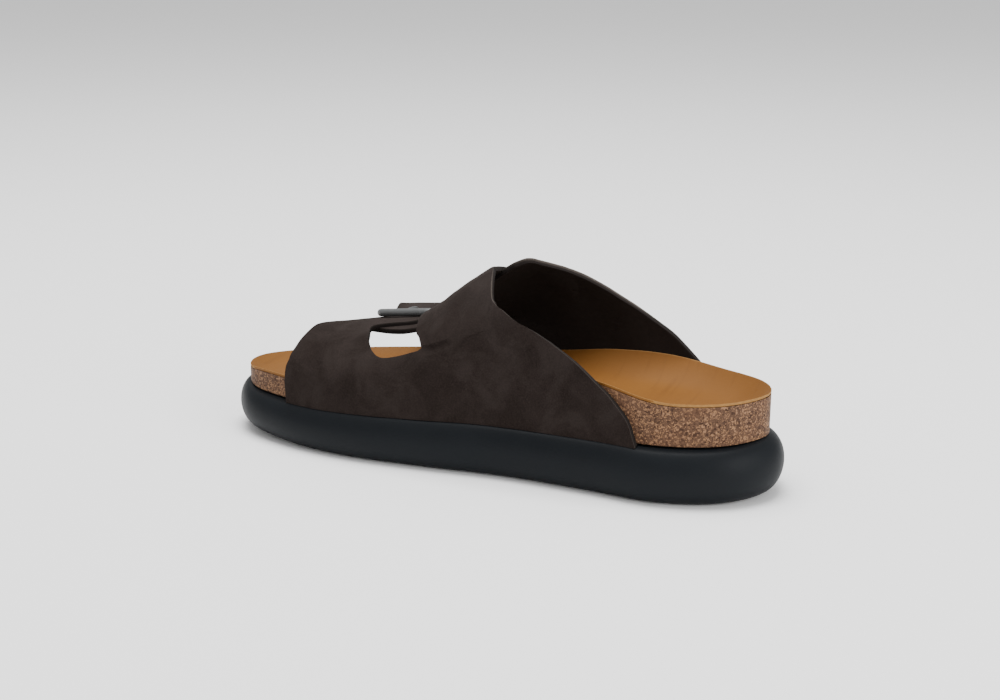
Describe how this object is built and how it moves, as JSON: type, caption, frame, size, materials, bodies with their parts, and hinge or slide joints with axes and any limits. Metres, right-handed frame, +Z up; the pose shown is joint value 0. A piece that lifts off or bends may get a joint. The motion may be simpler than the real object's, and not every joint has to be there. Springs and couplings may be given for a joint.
{
  "type": "two-strap cork footbed sandal",
  "caption": "Right slide sandal with a thick rounded rubber sole, a dished cork footbed and a nubuck upper whose straps fasten on the outer side with rod buckles.",
  "frame": {"origin": "on the floor, under the middle of the bounding box", "axes": "+X to the inner side of the foot, +Y to the heel, +Z up"},
  "size_m": [0.1006, 0.2699, 0.0891],
  "materials": {
    "rubber": "matt black moulded rubber",
    "cork": "granulated cork, sealed, matt",
    "lining_leather": "smooth tan lining leather",
    "nubuck": "brushed dark brown nubuck with a raw cut edge",
    "lacquered_metal": "dark grey satin lacquer"
  },
  "bodies": {
    "root": {"outsole": "rubber", "cork_midsole": "cork", "insole": "lining_leather", "upper": "nubuck", "buckle_front": "lacquered_metal", "buckle_rear": "lacquered_metal", "prong_front": "lacquered_metal", "prong_rear": "lacquered_metal"}
  },
  "joints": []
}
